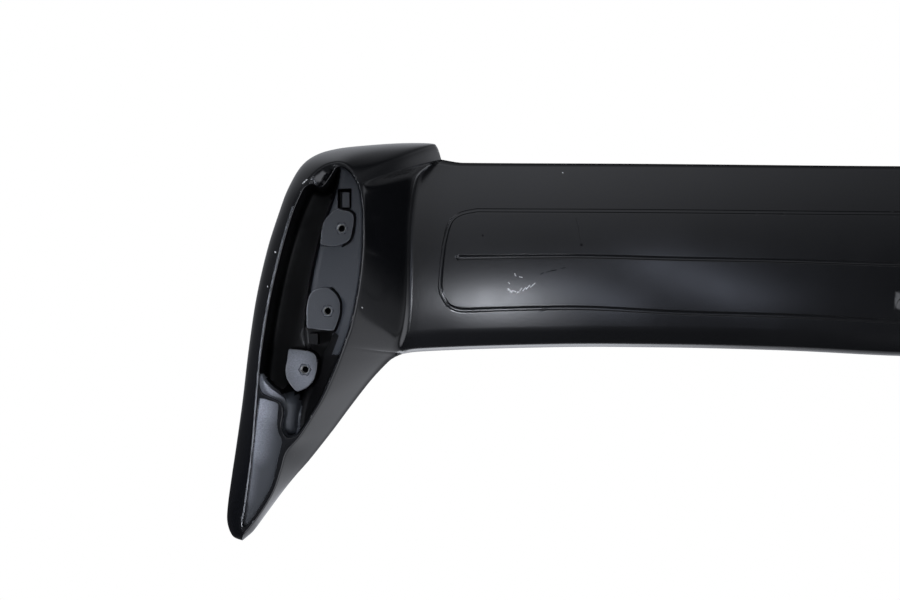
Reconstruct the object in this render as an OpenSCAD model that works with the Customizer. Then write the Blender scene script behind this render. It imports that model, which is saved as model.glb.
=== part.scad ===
// Trunk spoiler: one moulded wing on two swept legs, with six threaded inserts in the feet.
// The seat of both feet is the plane z = 0. +X runs across the car, +Y towards its front.

/* [Wing] */
// Overall width across both legs
span = 1297; // [1200:1:1400]
// Height of the wing's edge line above the seat
edge_height = 90; // [80:1:100]
// How much lower the leading edge lies than the trailing edge
nose_drop = 5; // [2:0.5:9]
// Greatest thickness of the wing
wing_thickness = 28; // [24:0.5:32]
// Thickness of the trailing edge
tail_thickness = 3; // [2:0.25:5]
// Length of the rounded nose, front to back
nose_length = 16; // [12:0.5:22]
// How far the leading edge bows forward in the middle
middle_bow = 11; // [0:0.5:16]

/* [Underside panel] */
// Panel line's distance from the trailing edge
panel_rear_inset = 39.5; // [34:0.5:46]
// Panel line's distance from the leading edge
panel_front_inset = 28; // [24:0.5:34]
// Width of the sunk panel line
panel_line_width = 3.4; // [2.4:0.1:5]
// Depth of the sunk panel line
panel_line_depth = 0.8; // [0.5:0.1:1.5]
// Width of the middle line
middle_line_width = 2.6; // [1.8:0.1:4]
// Length of the recess in the middle of the underside
centre_recess_length = 178; // [120:1:220]
// Width of the recess in the middle of the underside
centre_recess_width = 19; // [14:0.5:22]
// Depth of the recess in the middle of the underside
centre_recess_depth = 6; // [3:0.5:9]

/* [Foot] */
// Height of the pocket's roof above the seat
pocket_depth = 38; // [32:1:42]
// Share of the pocket's plan that its roof keeps, which is its draft
pocket_draft = 0.94; // [0.9:0.01:1]
// Depth of the seal recess at the leg's tip
tip_recess_depth = 1.6; // [0.8:0.1:3]
// Level of the ledge at the channel's front end
ledge_level = 5.5; // [4:0.5:8]
// Level of the rear pad's face
rear_pad_level = 9; // [7:0.5:12]
// Level of the middle pad's face
middle_pad_level = 12; // [9:0.5:15]
// Level of the front pad's face
front_pad_level = 6; // [4:0.5:9]
// Level of the floor in the locating slot
slot_floor = 30; // [24:0.5:34]
// Level of the block's face in the locating slot
slot_block_level = 14; // [10:0.5:20]
// Level of the deep recess between two pads
deep_recess_level = 34; // [28:1:36]

/* [Inserts] */
// Size of the hexagonal insert across its flats
insert_flats = 8.2; // [7.5:0.1:10]
// Length of the insert
insert_length = 12; // [8:0.5:15]
// Thread's inner diameter
insert_bore = 5; // [4:0.1:6.4]
// Diameter of the hole behind the insert for the screw's end
screw_relief = 6.6; // [6:0.1:7.4]
// Depth of that hole
screw_relief_depth = 7; // [3:0.5:9]

/* [Hidden] */
slack = 1;
rows_per_step = 2;
section_points = 14;
wall_rings = 6;
wing_ribs = 15;
tail_share = 0.012;
wing_reach = span / 2;

// Plan places are [distance in from the leg's outer side, distance forward].
// Each leg row: outer rim, outer foot, inner rim, inner foot and the crown of the top above the rims.
// Rim heights are shares of edge_height.
LEG_ROWS = [
  [[13, 164.4, 0.13], [15, 158], [13, 164.4, 0.13], [15, 158], 0],
  [[5, 161, 0.14], [13, 153], [17.2, 161, 0.15], [18.6, 154.5], 5],
  [[0.3, 151, 0.17], [13.2, 146], [21.8, 156.7, 0.18], [21.8, 150.5], 8],
  [[0, 138, 0.2], [15.2, 136], [30, 145.5, 0.25], [29.8, 140], 12],
  [[2.3, 114, 0.28], [18.6, 111], [43.4, 127.2, 0.37], [39.8, 123], 18],
  [[5.2, 89, 0.36], [21.6, 86], [53.5, 114.7, 0.43], [45.6, 106], 23],
  [[9.1, 53, 0.47], [24.4, 50], [64.5, 102.2, 0.5], [50, 92], 28],
  [[13.2, 10, 0.57], [28.2, 8], [82.7, 79, 0.62], [60.6, 79.6], 31],
  [[19, -32, 0.62], [34.8, -32], [96.4, 60.4, 0.71], [71, 63.4], 30],
  [[27.7, -72, 0.66], [43.6, -70], [113.4, 38.4, 0.82], [80.7, 46.6], 28],
  [[37.3, -103, 0.69], [52.2, -99.5], [127.5, 23.4, 0.895], [89.8, 26], 26],
  [[44.3, -122.6, 0.72], [59.5, -117], [132.6, 19.6, 0.92], [93.6, 16], 25],
  [[54.7, -142, 0.78], [69, -129], [135.2, 18.3, 0.93], [95.3, 11.5], 23],
  [[67.4, -152.4, 0.83], [79.5, -137.5], [136.5, 17.7, 0.934], [95.7, 10.4], 21],
  [[85.2, -158.2, 0.88], [89.5, -140.5], [137.4, 17.3, 0.937], [95.9, 9.8], 20],
  [[108, -161.4, 0.91], [96.5, -139.5], [138, 17.1, 0.939], [96.1, 9.3], 18],
  [[138, -164, 0.94], [101.5, -135.5], [138.5, 16.9, 0.941], [96.3, 8.9], 17],
  [[163.5, -164.2, 0.97], [104.5, -131.5], [138.9, 16.8, 0.942], [96.4, 8.5], 16],
  [[169.3, -161.3, 0.98], [106.8, -127.5], [139.3, 16.6, 0.943], [96.5, 8.1], 15],
  [[173, -150.6, 1], [108.4, -123.5], [139.6, 16.5, 1 - nose_drop / edge_height], [96.6, 7.8], 14]
];
// The fold between leg and wing: rows are chord share, distance in.
FOLD = [
  [0, 173], [0.03, 162], [0.08, 155], [0.22, 150], [0.4, 147.3],
  [0.6, 147], [0.75, 146.5], [0.88, 144.5], [0.95, 141.4], [1, 139.6]
];
// The foot's edge below the fold, from its rear to its front.
CREASE = [
  [108.4, -123.5], [110.6, -116], [111.8, -107], [112.3, -96], [112.3, -80],
  [110.9, -59], [108.3, -37.5], [103, -11.5], [98.5, 2.5], [96.6, 7.8]
];
// Edge places along the wing: share of the way to the middle, distance forward.
TAIL_LINE = [[0, -150.6], [0.04, -147.8], [0.35, -147], [0.8, -145], [1, -144.5]];
NOSE_LINE = [
  [0, 16.5], [0.01, 15.5], [0.022, 14.7], [0.048, 13.9], [0.087, 13], [0.125, 12.3], [0.18, 11.5],
  [0.27, 10.5], [0.33, 10], [0.4, 9.5], [0.5, 8.5], [0.67, 7.5], [0.84, 8.5], [1, 8.5]
];

POCKET = [
  [90.1, -136.8], [95, -136.8], [101.4, -132.2], [107, -123.6], [109.5, -114.3],
  [111, -100], [111.2, -82], [109.8, -59], [107.1, -37.8], [101.8, -11.8], [95.2, 8],
  [88.4, 25], [78.3, 47.5], [71.3, 60.2], [66.5, 68.5], [62.4, 74.4], [57.8, 79.2], [51.8, 81.3],
  [48.6, 79.9], [46, 75.8], [44.7, 69.6], [46.1, 60.6], [44.6, 53.4], [38.8, 49.8], [33.4, 47.4], [29.2, 44.4],
  [27, 38], [27.2, 28], [29.6, 8], [36, -31], [45, -69], [53.5, -98], [60.6, -114.8],
  [64, -120.6], [70.2, -123.2], [75.9, -120.8], [79.5, -122.5], [84, -128.5], [88, -135]
];
// The sloped platform's left edge: distance forward, distance in, level.
PLATFORM = [
  [-140, 93, 6], [-127, 91.6, 9], [-111, 87, 13], [-90, 79, 18], [-70, 73.8, 21],
  [-42, 68, 22], [-6, 64, 22], [20, 66, 20], [40, 66, 16], [52, 62, 13], [70, 59, 10], [84, 58, 7]
];
// The platform's right edge under the crease: distance forward, distance in.
PLATFORM_EDGE = [
  [-140, 98], [-127, 106], [-111, 111.5], [-90, 112.5], [-70, 111.5], [-42, 108.8],
  [-6, 101.5], [20, 91.2], [40, 82.6], [52, 76.4], [70, 66], [84, 56]
];
TIP_RECESS = [
  [27.4, 50.4], [28.6, 48.6], [31.6, 49], [37.5, 50.8], [42.2, 52.6], [43.2, 55], [42.7, 61.6], [42.4, 70.2],
  [43.5, 76.6], [45.5, 80.6], [46.2, 84.4], [44.9, 90.5], [43, 98], [39.6, 113.5], [36.2, 122.4],
  [31, 131.6], [24, 142.8], [17.4, 151], [15.2, 151.4], [14.8, 147.5],
  [16.6, 135.8], [20, 111], [22.9, 86.2], [25.2, 66]
];
CENTROID = [72, -30];
// Each pad: level, insert's centre and outline.
PADS = [
  ["rear", rear_pad_level, [93.1, -87.5], [
    [92.3, -102.5], [89.9, -103.2], [84, -99.5], [79.5, -94.5], [77.4, -89], [76.2, -80],
    [76, -75.8], [77.4, -73.9], [82, -73.4], [87.5, -73.4], [91, -74], [94.6, -75],
    [97.6, -76.6], [100.4, -79.8], [101.8, -85], [102.8, -91], [103, -95.9], [102.4, -98.6],
    [100.2, -100.6], [96, -101.8]
  ]],
  ["middle", middle_pad_level, [81.6, -20.9], [
    [64.9, -7.4], [64.4, -14], [64.5, -22], [65.4, -29.5], [67.4, -34.6], [70.4, -37.6],
    [75.5, -39.5], [81, -39.9], [85.6, -37.4], [88.9, -33.8], [91.2, -29], [91.8, -24],
    [91.4, -18.5], [89.9, -13], [87.8, -7.4], [86.2, -5.3], [83, -5.2], [76, -5.8], [69, -6.6]
  ]],
  ["front", front_pad_level, [63.7, 26.2], [
    [50.9, 9.9], [49.6, 18], [48.6, 24], [48.2, 28], [49.2, 33.2], [52.5, 38.9], [55.4, 42.4],
    [57.2, 43.8], [60, 43.3], [64.2, 41.4], [68.2, 38.2], [70.9, 34.6], [72.8, 29], [73.7, 22],
    [73.1, 16.6], [70.8, 13.2], [66.5, 11.2], [60, 10.2], [54, 9.7]
  ]]
];

function mix(a, b, t) = a + (b - a) * t;
function hermite(a, b, ta, tb, t) =
  (2 * t ^ 3 - 3 * t ^ 2 + 1) * a + (t ^ 3 - 2 * t ^ 2 + t) * ta
  + (3 * t ^ 2 - 2 * t ^ 3) * b + (t ^ 3 - t ^ 2) * tb;
function spline(p, i, t) =
  let (last = len(p) - 1)
  hermite(p[i], p[i + 1], (p[i + 1] - p[max(i - 1, 0)]) / 2, (p[min(i + 2, last)] - p[i]) / 2, t);
function curve(p, steps) = [
  for (i = [0:len(p) - 2]) for (k = [0:steps - 1]) spline(p, i, k / steps),
  p[len(p) - 1]
];
function ring_curve(p, steps) =
  let (n = len(p))
  [for (i = [0:n - 1]) for (k = [0:steps - 1])
    hermite(p[i], p[(i + 1) % n], (p[(i + 1) % n] - p[(i + n - 1) % n]) / 2,
      (p[(i + 2) % n] - p[i]) / 2, k / steps)];

function column(i) = [for (row = LEG_ROWS) row[i]];
function to_mm(p) = [wing_reach - p[0], p[1], p[2] * edge_height];
function seat_mm(p) = [wing_reach - p[0], p[1], 0];

outer_rim = [for (p = curve(column(0), rows_per_step)) to_mm(p)];
outer_foot = [for (p = curve(column(1), rows_per_step)) seat_mm(p)];
inner_rim = [for (p = curve(column(2), rows_per_step)) to_mm(p)];
inner_foot = [for (p = curve(column(3), rows_per_step)) seat_mm(p)];
crowns = curve(column(4), rows_per_step);
last_row = len(outer_rim) - 1;

// The wing's section: a straight edge line from tail to nose and half the thickness on each side of it.
half_thick = wing_thickness / 2;
half_tail = tail_thickness / 2;
root_chord = inner_rim[last_row][1] - outer_rim[last_row][1];
nose_share = 1 - nose_length / root_chord;
function tail_round(t) = t >= tail_share ? 1 : sqrt(1 - (1 - t / tail_share) ^ 2);
function swell(t) = 1 - (1 - min(t / nose_share, 1)) ^ 2;
function nose_round(t) = t <= nose_share ? 1 : sqrt(max(0, 1 - ((t - nose_share) / (1 - nose_share)) ^ 2));
function wing_half(t) = (half_tail * tail_round(t) + (half_thick - half_tail) * swell(t)) * nose_round(t);
function edge_line(t) = edge_height - nose_drop * t;

bow_start = 0.25;
function smooth(q) = let (c = max(0, min(1, q))) c * c * (3 - 2 * c);
function bow(s) = middle_bow * smooth((s - bow_start) / (1 - bow_start));
function tail_y(s) = lookup(s, TAIL_LINE);
function nose_y(s) = lookup(s, NOSE_LINE) + bow(s);
function fold_in(t) = lookup(t, FOLD);
tail_root = wing_reach - FOLD[0][1];
nose_root = wing_reach - FOLD[len(FOLD) - 1][1];
// How far a rib bends with the fold, which dies out away from the leg.
fold_fade = 0.12;
function fold_bend(s) = s >= fold_fade ? 0 : (1 - s / fold_fade) ^ 2;
function rib_x(s, t) =
  (1 - s) * mix(tail_root, nose_root, t)
  + fold_bend(s) * (wing_reach - fold_in(t) - mix(tail_root, nose_root, t));
function rib_y(s, t) = mix(tail_y(s), nose_y(s), t);
function under(s, t) = [rib_x(s, t), rib_y(s, t), edge_line(t) - wing_half(t)];
function over(s, t) = [rib_x(s, t), rib_y(s, t), edge_line(t) + wing_half(t)];

function cosine_share(k, n) = (1 - cos(180 * k / n)) / 2;
rib_shares = [for (k = [0:wing_ribs]) (k / wing_ribs) ^ 1.5];

// The leg's top: a superellipse crown over the line between its rims.
crown_power = 2.4;
function crown_shape(t) = (1 - abs(2 * t - 1) ^ crown_power) ^ (1 / crown_power);
function wing_blend(i) = max(0, min(1, (i / last_row - 0.68) / 0.32));
function leg_top(i, t) =
  let (
    o = outer_rim[i],
    n = inner_rim[i],
    w = wing_blend(i),
    plan = mix(o, n, t)
  )
  [plan[0], plan[1], plan[2] + mix(crowns[i] * crown_shape(t), wing_half(t), smooth(w))];

// The leg's wall rises from the foot's edge to the rim.
outer_wall_curve = 1.8;
inner_wall_curve = 1.25;
fillet_start = 0.8;
function fold_rise(w) =
  let (a = 2 / (1 + fillet_start), e = w - fillet_start)
  w <= fillet_start ? a * w : a * (fillet_start + e - e ^ 2 / (2 * (1 - fillet_start)));
function wall_point(foot, rim, w, power, fold) =
  let (
    a = mix(1 - (1 - w) ^ power, w, fold),
    b = mix(w, fold_rise(w), fold)
  )
  [mix(foot[0], rim[0], a), mix(foot[1], rim[1], a), rim[2] * b];

fold_curve = [for (k = [0:section_points]) under(0, cosine_share(k, section_points))];
crease_curve = [for (k = [0:section_points])
  let (q = k / section_points * (len(CREASE) - 1), i = min(floor(q), len(CREASE) - 2))
  seat_mm(spline(CREASE, i, q - i))];

// One leg's wall as a loop: out along the outer side, along the fold, back along the inner side.
// The last number is how far the wall ends like the fold, in a fillet, and not like a rim.
corner_fold = 0.3;
function outer_fold(i) = corner_fold * smooth((i / last_row - 0.9) / 0.1);
function crease_fold(k) = mix(corner_fold, 1, smooth(k / section_points / 0.16));
function inner_fold(i) = smooth(i / last_row / 0.6);
wall_loop = concat(
  [for (i = [0:last_row]) [outer_foot[i], outer_rim[i], outer_wall_curve, outer_fold(i)]],
  [for (k = [1:section_points - 1]) [crease_curve[k], fold_curve[k], outer_wall_curve, crease_fold(k)]],
  [for (i = [last_row:-1:1]) [inner_foot[i], inner_rim[i], inner_wall_curve, inner_fold(i)]]
);
wall_count = len(wall_loop);

// Vertices: wall rings, then the tops of the leg rows, then the wing's ribs.
wall_vertices = [
  for (j = [0:wall_rings]) for (c = wall_loop) wall_point(c[0], c[1], j / wall_rings, c[2], c[3])
];
top_vertices = [
  for (i = [1:last_row - 1]) for (k = [1:section_points - 1]) leg_top(i, cosine_share(k, section_points))
];
// A wing rib runs under the wing from tail to nose and back over it.
function wing_rib(s) = concat(
  [for (k = [0:section_points]) under(s, cosine_share(k, section_points))],
  [for (k = [section_points - 1:-1:1]) over(s, cosine_share(k, section_points))]
);
wing_vertices = [for (n = [1:wing_ribs]) each wing_rib(rib_shares[n])];
root_top_vertices = [for (k = [section_points - 1:-1:1]) over(0, cosine_share(k, section_points))];

top_start = len(wall_vertices);
root_start = top_start + len(top_vertices);
wing_start = root_start + len(root_top_vertices);
rib_size = 2 * section_points;

function wall_id(j, c) = j * wall_count + (c + wall_count) % wall_count;
rim_ring = wall_rings;
function outer_id(i) = wall_id(rim_ring, i);
function inner_id(i) = wall_id(rim_ring, i == 0 ? 0 : last_row + section_points - 1 + (last_row - i) + 1);
function top_id(i, k) =
  k == 0 ? outer_id(i)
  : k == section_points ? inner_id(i)
  : i == last_row ? root_start + (section_points - 1 - k)
  : top_start + (i - 1) * (section_points - 1) + k - 1;
function rib_id(n, v) =
  let (m = (v + rib_size) % rib_size)
  n > 0 ? wing_start + (n - 1) * rib_size + m
  : m <= section_points ? wall_id(rim_ring, last_row + m)
  : root_start + m - section_points - 1;
function foot_outer_id(i) = wall_id(0, i);
function foot_inner_id(i) = wall_id(0, i == 0 ? 0 : 2 * last_row + section_points - i);

function quad(a, b, c, d) = [[a, c, b], [a, d, c]];
wall_faces = [
  for (j = [0:wall_rings - 1]) for (c = [0:wall_count - 1])
    each quad(wall_id(j, c), wall_id(j + 1, c), wall_id(j + 1, c + 1), wall_id(j, c + 1))
];
foot_faces = concat(
  [[foot_outer_id(0), foot_inner_id(1), foot_outer_id(1)]],
  [for (i = [1:last_row - 1])
    each quad(foot_outer_id(i), foot_outer_id(i + 1), foot_inner_id(i + 1), foot_inner_id(i))],
  [for (k = [0:section_points - 2])
    [wall_id(0, last_row + section_points), wall_id(0, last_row + k + 1), wall_id(0, last_row + k)]]
);
tip_faces = [for (k = [0:section_points - 1]) [outer_id(0), top_id(1, k), top_id(1, k + 1)]];
top_faces = [
  for (i = [1:last_row - 1]) for (k = [0:section_points - 1])
    each quad(top_id(i, k), top_id(i, k + 1), top_id(i + 1, k + 1), top_id(i + 1, k))
];
wing_faces = [
  for (n = [0:wing_ribs - 1]) for (v = [0:rib_size - 1])
    each quad(rib_id(n, v), rib_id(n + 1, v), rib_id(n + 1, v + 1), rib_id(n, v + 1))
];
// The flat end on the centre plane, closed by strips between the under and over lines.
function centre_id(v) = rib_id(wing_ribs, v);
centre_faces = concat(
  [[centre_id(0), centre_id(1), centre_id(-1)]],
  [for (k = [1:section_points - 2])
    each quad(centre_id(k), centre_id(-k), centre_id(-k - 1), centre_id(k + 1))],
  [[centre_id(section_points - 1), centre_id(section_points), centre_id(section_points + 1)]]
);

module half_skin() {
  polyhedron(
    points = concat(wall_vertices, top_vertices, root_top_vertices, wing_vertices),
    faces = concat(wall_faces, foot_faces, tip_faces, top_faces, wing_faces, centre_faces)
  );
}

// Puts [distance in, distance forward] plans on the leg of the +X side.
module leg_plan() {
  translate([wing_reach, 0, 0]) mirror([1, 0, 0]) children();
}

// A closed solid through a row of sections with the same number of points.
module sweep(sections) {
  n = len(sections);
  m = len(sections[0]);
  polyhedron(
    points = [for (row = sections) each row],
    faces = concat(
      [[for (k = [m - 1:-1:0]) k]],
      [for (i = [0:n - 2]) for (k = [0:m - 1])
        each quad(i * m + k, (i + 1) * m + k, (i + 1) * m + (k + 1) % m, i * m + (k + 1) % m)],
      [[for (k = [0:m - 1]) (n - 1) * m + k]]
    )
  );
}

roof = pocket_depth + slack;
module pocket_void() {
  translate([CENTROID[0], CENTROID[1], -slack])
    linear_extrude(height = pocket_depth + slack, scale = pocket_draft)
      translate(-CENTROID) polygon(ring_curve(POCKET, 2));
}

// The platform falls from the crease towards the channel and ends there in a rounded shoulder.
shoulder = 4;
crease_step = 0.8;
function platform_section(row) =
  let (y = row[0], left = row[1], level = row[2], edge = lookup(y, PLATFORM_EDGE) + slack)
  [
    [edge, y, roof],
    [left - shoulder, y, roof],
    [left - 0.7 * shoulder, y, level + shoulder],
    [left, y, level],
    [left + shoulder, y, level - 0.4 * shoulder],
    [edge, y, crease_step]
  ];
module platform() {
  sweep([for (row = curve(PLATFORM, 2)) platform_section(row)]);
}

// The lobe behind the tip recess: a raised floor and a broad, low bulge on it.
lobe_floor_level = 17;
bulge_level = 5;
bulge_height = 15;
bulge_radius = 9;
BULGE_LINE = [[52, 56], [53.5, 73]];
module lobe_floor() {
  hull() {
    translate([30, 58, lobe_floor_level]) cube([50, 30, roof - lobe_floor_level]);
    translate([30, 44, pocket_depth - slack]) cube([50, 30, 2 * slack]);
  }
}
module bulge() {
  hull() for (p = BULGE_LINE) {
    translate([p[0], p[1], bulge_level + bulge_height])
      scale([1, 1, bulge_height / bulge_radius]) sphere(bulge_radius, $fn = 20);
    translate([p[0], p[1], pocket_depth]) cylinder(r = bulge_radius, h = slack, $fn = 20);
  }
}
LEDGE = [[29.4, 29.5], [31.9, 36.1], [36.8, 41], [43, 45.3], [47.8, 48.8], [50, 58], [20, 58], [20, 29]];
module ledge() {
  translate([0, 0, ledge_level]) linear_extrude(roof - ledge_level) polygon(LEDGE);
}

module pad_outline(pad) {
  hull() polygon(pad[3]);
}
module pad_sight(pad) {
  translate([0, 0, -slack]) linear_extrude(pad[1] + slack) pad_outline(pad);
}
module pad_boss(pad) {
  translate([0, 0, pad[1]]) linear_extrude(roof - pad[1]) pad_outline(pad);
}

SLOT = [89.9, -119.4, 11.3, 15.8];
SLOT_BLOCK = [93.2, -117, 6, 12.6];
module slot_void() {
  translate([SLOT[0], SLOT[1], 0]) cube([SLOT[2], SLOT[3], slot_floor]);
}
module slot_block() {
  translate([SLOT_BLOCK[0], SLOT_BLOCK[1], slot_block_level])
    cube([SLOT_BLOCK[2], SLOT_BLOCK[3], roof - slot_block_level]);
}
DEEP_RECESS = [[58, -8], [87, -8], [84, 4], [74, 20], [46, 18], [47, 9], [52, 2]];
module deep_recess_void() {
  linear_extrude(deep_recess_level) polygon(DEEP_RECESS);
}
TAB = [66, -2.6, 7.2, 9];
tab_level = 18;
module locating_tab() {
  translate([TAB[0], TAB[1], tab_level]) cube([TAB[2], TAB[3], roof - tab_level]);
}

module insert_seat(pad) {
  translate([pad[2][0], pad[2][1], pad[1]]) {
    translate([0, 0, -slack]) insert_blank(insert_length + slack);
    cylinder(d = screw_relief, h = insert_length + screw_relief_depth, $fn = 24);
  }
}
module insert_blank(length) {
  cylinder(d = insert_flats / cos(30), h = length, $fn = 6);
}

module tip_recess() {
  translate([0, 0, -slack]) linear_extrude(tip_recess_depth + slack) polygon(ring_curve(TIP_RECESS, 2));
}

module foot_voids() {
  difference() {
    union() {
      difference() {
        pocket_void();
        platform();
        lobe_floor();
        bulge();
        ledge();
      }
      for (pad = PADS) pad_sight(pad);
      slot_void();
      deep_recess_void();
    }
    for (pad = PADS) pad_boss(pad);
    locating_tab();
    slot_block();
  }
  for (pad = PADS) insert_seat(pad);
  tip_recess();
}

// Lines and recess in the wing's underside.
function share_at(x) = max(0, 1 - x / mix(tail_root, nose_root, 0.5));
function under_z(x, y) =
  let (s = share_at(x), t = (y - tail_y(s)) / (nose_y(s) - tail_y(s)))
  edge_line(t) - wing_half(t);
function band_section(p, n, width, depth) =
  let (a = p + n * width / 2, b = p - n * width / 2)
  [
    [a[0], a[1], under_z(a[0], a[1]) - slack],
    [a[0], a[1], under_z(a[0], a[1]) + depth],
    [b[0], b[1], under_z(b[0], b[1]) + depth],
    [b[0], b[1], under_z(b[0], b[1]) - slack]
  ];
function side_of(p, i) =
  let (a = p[max(i - 1, 0)], b = p[min(i + 1, len(p) - 1)], d = b - a)
  [d[1], -d[0]] / norm(d);
module band(path, width, depth) {
  sweep([for (i = [0:len(path) - 1]) band_section(path[i], side_of(path, i), width, depth)]);
}

// The panel line's end beside the leg: distance in, share of the way from its rear to its front line.
PANEL_END = [
  [202, 0], [188, 0.037], [179.6, 0.116], [174.7, 0.293], [172.4, 0.48], [170.6, 0.7],
  [171, 0.803], [173.5, 0.871], [178, 0.945], [185.6, 0.99], [194, 1]
];
panel_steps = 9;
function panel_rear_y(x) = tail_y(share_at(x)) + panel_rear_inset + panel_line_width / 2;
function panel_front_y(x) = nose_y(share_at(x)) - panel_front_inset - panel_line_width / 2;
panel_rear_end = wing_reach - PANEL_END[0][0];
panel_front_end = wing_reach - PANEL_END[len(PANEL_END) - 1][0];
panel_path = concat(
  [for (k = [0:panel_steps - 1])
    let (x = mix(-slack, panel_rear_end, k / panel_steps)) [x, panel_rear_y(x)]],
  [for (e = curve(PANEL_END, 2))
    let (x = wing_reach - e[0] - panel_line_width / 2)
    [x, mix(panel_rear_y(x), panel_front_y(x), e[1])]],
  [for (k = [1:panel_steps])
    let (x = mix(panel_front_end, -slack, k / panel_steps)) [x, panel_front_y(x)]]
);
middle_line_in = 188;
middle_line_share = 0.52;
middle_path = [for (k = [0:panel_steps])
  let (x = mix(-slack, wing_reach - middle_line_in, k / panel_steps), s = share_at(x))
  [x, mix(tail_y(s), nose_y(s), middle_line_share)]];

centre_recess_y = -23.5;
centre_recess_roof = edge_height - 0.76 * nose_drop - half_thick + centre_recess_depth;
module centre_recess() {
  hull() for (side = [-1, 1])
    translate([side * (centre_recess_length - centre_recess_width) / 2, centre_recess_y, 0])
      cylinder(d = centre_recess_width, h = centre_recess_roof, $fn = 40);
}

module spoiler_body() {
  color([0.13, 0.14, 0.15]) difference() {
    for (side = [0, 1]) mirror([side, 0, 0]) half_skin();
    for (side = [0, 1]) mirror([side, 0, 0]) {
      leg_plan() foot_voids();
      band(panel_path, panel_line_width, panel_line_depth);
      band(middle_path, middle_line_width, panel_line_depth);
    }
    centre_recess();
  }
}

// A moulded-in insert: a hexagonal sleeve with a round threaded hole through it.
module threaded_insert(pad) {
  color([0.62, 0.62, 0.6]) translate([pad[2][0], pad[2][1], pad[1]]) difference() {
    insert_blank(insert_length);
    translate([0, 0, -slack]) cylinder(d = insert_bore, h = insert_length + 2 * slack, $fn = 48);
  }
}
module side_insert(side, index) {
  mirror([side, 0, 0]) leg_plan() threaded_insert(PADS[index]);
}
left = 1;
right = 0;

spoiler_body();
side_insert(left, 0);  // left_rear_insert
side_insert(left, 1);  // left_middle_insert
side_insert(left, 2);  // left_front_insert
side_insert(right, 0);  // right_rear_insert
side_insert(right, 1);  // right_middle_insert
side_insert(right, 2);  // right_front_insert
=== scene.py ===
import math

import bmesh
import bpy
import numpy as np
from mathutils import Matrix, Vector
from mathutils.geometry import delaunay_2d_cdt


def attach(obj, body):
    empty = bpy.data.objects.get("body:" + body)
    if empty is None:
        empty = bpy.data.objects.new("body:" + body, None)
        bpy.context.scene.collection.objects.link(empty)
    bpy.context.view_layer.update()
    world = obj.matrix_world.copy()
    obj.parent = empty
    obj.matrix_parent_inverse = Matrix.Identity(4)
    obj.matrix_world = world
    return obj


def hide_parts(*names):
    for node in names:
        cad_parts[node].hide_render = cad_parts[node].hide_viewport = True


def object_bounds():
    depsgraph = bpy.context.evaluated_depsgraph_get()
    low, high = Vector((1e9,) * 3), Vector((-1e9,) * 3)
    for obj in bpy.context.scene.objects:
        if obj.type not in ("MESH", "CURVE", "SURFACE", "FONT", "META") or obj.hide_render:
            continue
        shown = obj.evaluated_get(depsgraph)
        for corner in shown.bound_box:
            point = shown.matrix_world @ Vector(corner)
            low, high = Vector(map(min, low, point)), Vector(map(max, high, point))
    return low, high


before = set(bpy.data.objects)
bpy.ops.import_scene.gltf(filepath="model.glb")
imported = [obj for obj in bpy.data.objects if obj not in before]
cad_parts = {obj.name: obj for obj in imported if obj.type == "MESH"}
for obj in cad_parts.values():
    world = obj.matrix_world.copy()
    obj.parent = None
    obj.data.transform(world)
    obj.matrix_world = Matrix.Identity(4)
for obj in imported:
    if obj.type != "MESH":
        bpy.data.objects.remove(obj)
cad_low, cad_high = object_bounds()

# Sizes of the moulding in millimetres, as in the part's source
SPAN, EDGE_HEIGHT, NOSE_DROP = 1297.0, 90.0, 5.0
THICKNESS, TAIL_THICKNESS, NOSE_LENGTH, MIDDLE_BOW = 28.0, 3.0, 16.0, 11.0
REACH = SPAN / 2
POCKET_DEPTH, TIP_RECESS_DEPTH, LEDGE_LEVEL = 38.0, 1.6, 5.5
SLOT_FLOOR, SLOT_BLOCK_LEVEL, DEEP_RECESS_LEVEL, TAB_LEVEL, LOBE_FLOOR = 30.0, 14.0, 34.0, 18.0, 17.0
PANEL_REAR, PANEL_FRONT, PANEL_WIDTH, PANEL_DEPTH = 39.5, 28.0, 3.4, 0.8
MIDDLE_WIDTH, MIDDLE_END_WIDTH, MIDDLE_SHARE, MIDDLE_IN = 3.3, 4.6, 0.52, 188.0
CENTRE_LENGTH, CENTRE_WIDTH, CENTRE_DEPTH, CENTRE_Y = 178.0, 19.0, 6.0, -23.5
INSERT_LENGTH, COLLAR_RADIUS, COLLAR_GAP, COLLAR_STEPS = 12.0, 4.35, 0.45, 48

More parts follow.
